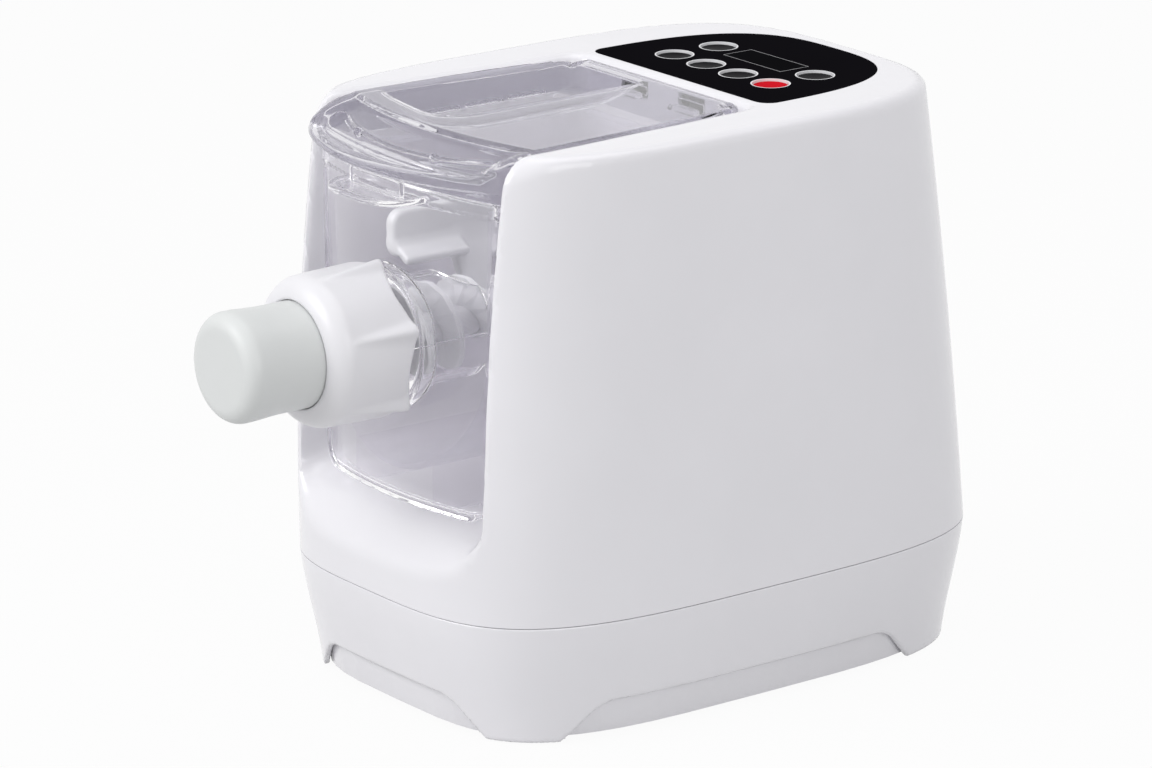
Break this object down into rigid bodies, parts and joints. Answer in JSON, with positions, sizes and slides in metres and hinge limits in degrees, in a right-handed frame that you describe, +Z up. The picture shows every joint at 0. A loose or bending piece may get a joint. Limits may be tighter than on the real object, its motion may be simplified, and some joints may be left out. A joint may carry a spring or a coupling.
{
  "type": "electric pasta maker",
  "caption": "White countertop pasta maker with a clear mixing bowl in an open bay, hinged clear lid, screw-on outlet nozzle and top control panel.",
  "frame": {"origin": "on the table, under the middle of the body's seam between base and housing", "axes": "+Z up; -Y towards the outlet nozzle and the cook; +X to the right of someone who faces the nozzle"},
  "size_m": [0.2254, 0.4087, 0.29],
  "materials": {
    "shell_white": "glossy moulded",
    "nozzle_white": "satin moulded",
    "bezel_white": "satin",
    "cap_grey": "satin",
    "clear_tint": "clear with a violet grey tint",
    "panel_black": "glossy",
    "button_red": "glossy",
    "display_dark": "polished",
    "inner_black": "matt",
    "rubber_black": "matt",
    "steel": "brushed",
    "cast_alloy": "cast",
    "brass": "sintered",
    "board_green": "solder mask",
    "gear_ivory": "moulded"
  },
  "bodies": {
    "root": {"housing": "shell_white", "base_skirt": "shell_white", "base_pan": "shell_white", "foot_pads": "rubber_black", "base_screws": "steel", "cord_gland": "rubber_black", "control_panel": "panel_black", "button_bezels": "bezel_white", "display_window": "display_dark", "display_module": "steel", "control_board": "board_green", "board_screws": "steel", "tact_switches": "inner_black", "lid_switch": "inner_black", "power_board": "board_green", "motor_cradle": "steel", "motor_stator": "steel", "motor_end_bells": "cast_alloy", "motor_bearings": "steel", "gearbox_case": "nozzle_white", "gearbox_cover": "nozzle_white", "gearbox_screws": "steel", "shaft_bushes": "brass", "shaft_seal": "rubber_black", "cluster_axle": "steel"},
    "lid": {"lid": "clear_tint"},
    "bowl": {"bowl": "clear_tint", "bowl_bush": "nozzle_white"},
    "front_plate": {"front_plate": "clear_tint"},
    "die": {"shaping_disc": "nozzle_white"},
    "nut": {"nut": "nozzle_white"},
    "cap": {"outlet_cap": "cap_grey"},
    "mixer": {"paddle": "nozzle_white", "auger": "nozzle_white"},
    "drive": {"drive_shaft": "steel", "drive_gear": "gear_ivory"},
    "cluster": {"cluster_gear": "gear_ivory"},
    "rotor": {"rotor_core": "steel", "rotor_shaft": "steel", "motor_pinion": "steel", "cooling_fan": "inner_black"},
    "button_power_body": {"button_power": "button_red"},
    "button_start_body": {"button_start": "panel_black"},
    "button_stop_body": {"button_stop": "panel_black"},
    "button_mode_body": {"button_mode": "panel_black"},
    "button_weight_body": {"button_weight": "panel_black"},
    "button_timer_body": {"button_timer": "panel_black"}
  },
  "joints": [
    {"name": "lid_hinge", "type": "hinge", "parent": "root", "child": "lid", "pos_m": [0, 0.013, 0.2854], "axis": [-1, 0, 0], "range_deg": [0, 88]},
    {"name": "bowl_slide", "type": "slide", "parent": "root", "child": "bowl", "axis": [0, -1, 0], "range_m": [0, 0.175]},
    {"name": "plate_slide", "type": "slide", "parent": "bowl", "child": "front_plate", "axis": [0, -1, 0], "range_m": [0, 0.08]},
    {"name": "die_slide", "type": "slide", "parent": "front_plate", "child": "die", "axis": [0, -1, 0], "range_m": [0, 0.0241]},
    {"name": "nut_turn", "type": "hinge", "parent": "die", "child": "nut", "pos_m": [0, -0.16, 0.189], "axis": [0, -1, 0], "range_deg": [0, 1440]},
    {"name": "cap_slide", "type": "slide", "parent": "die", "child": "cap", "axis": [0, -1, 0], "range_m": [0, 0.03]},
    {"name": "mixer_spin", "type": "hinge", "parent": "bowl", "child": "mixer", "pos_m": [0, 0.01, 0.189], "axis": [0, 1, 0], "continuous": true},
    {"name": "drive_spin", "type": "hinge", "parent": "root", "child": "drive", "pos_m": [0, 0.02, 0.189], "axis": [0, 1, 0], "continuous": true},
    {"name": "cluster_spin", "type": "hinge", "parent": "root", "child": "cluster", "pos_m": [0, 0.03, 0.1265], "axis": [0, 1, 0], "continuous": true},
    {"name": "rotor_spin", "type": "hinge", "parent": "root", "child": "rotor", "pos_m": [0, 0.045, 0.08275], "axis": [0, 1, 0], "continuous": true},
    {"name": "press_power", "type": "slide", "parent": "root", "child": "button_power_body", "axis": [0, 0, -1], "range_m": [0, 0.001], "stiffness_N_per_m": 150, "springref_m": -0.002},
    {"name": "press_start", "type": "slide", "parent": "root", "child": "button_start_body", "axis": [0, 0, -1], "range_m": [0, 0.001], "stiffness_N_per_m": 150, "springref_m": -0.002},
    {"name": "press_stop", "type": "slide", "parent": "root", "child": "button_stop_body", "axis": [0, 0, -1], "range_m": [0, 0.001], "stiffness_N_per_m": 150, "springref_m": -0.002},
    {"name": "press_mode", "type": "slide", "parent": "root", "child": "button_mode_body", "axis": [0, 0, -1], "range_m": [0, 0.001], "stiffness_N_per_m": 150, "springref_m": -0.002},
    {"name": "press_weight", "type": "slide", "parent": "root", "child": "button_weight_body", "axis": [0, 0, -1], "range_m": [0, 0.001], "stiffness_N_per_m": 150, "springref_m": -0.002},
    {"name": "press_timer", "type": "slide", "parent": "root", "child": "button_timer_body", "axis": [0, 0, -1], "range_m": [0, 0.001], "stiffness_N_per_m": 150, "springref_m": -0.002}
  ],
  "couplings": [
    {"joint": "die_slide", "follows": "nut_turn", "m_per_rad": 0.00095493},
    {"joint": "mixer_spin", "follows": "drive_spin", "ratio": 1},
    {"joint": "cluster_spin", "follows": "drive_spin", "ratio": -3.1667},
    {"joint": "rotor_spin", "follows": "drive_spin", "ratio": 12.667}
  ]
}
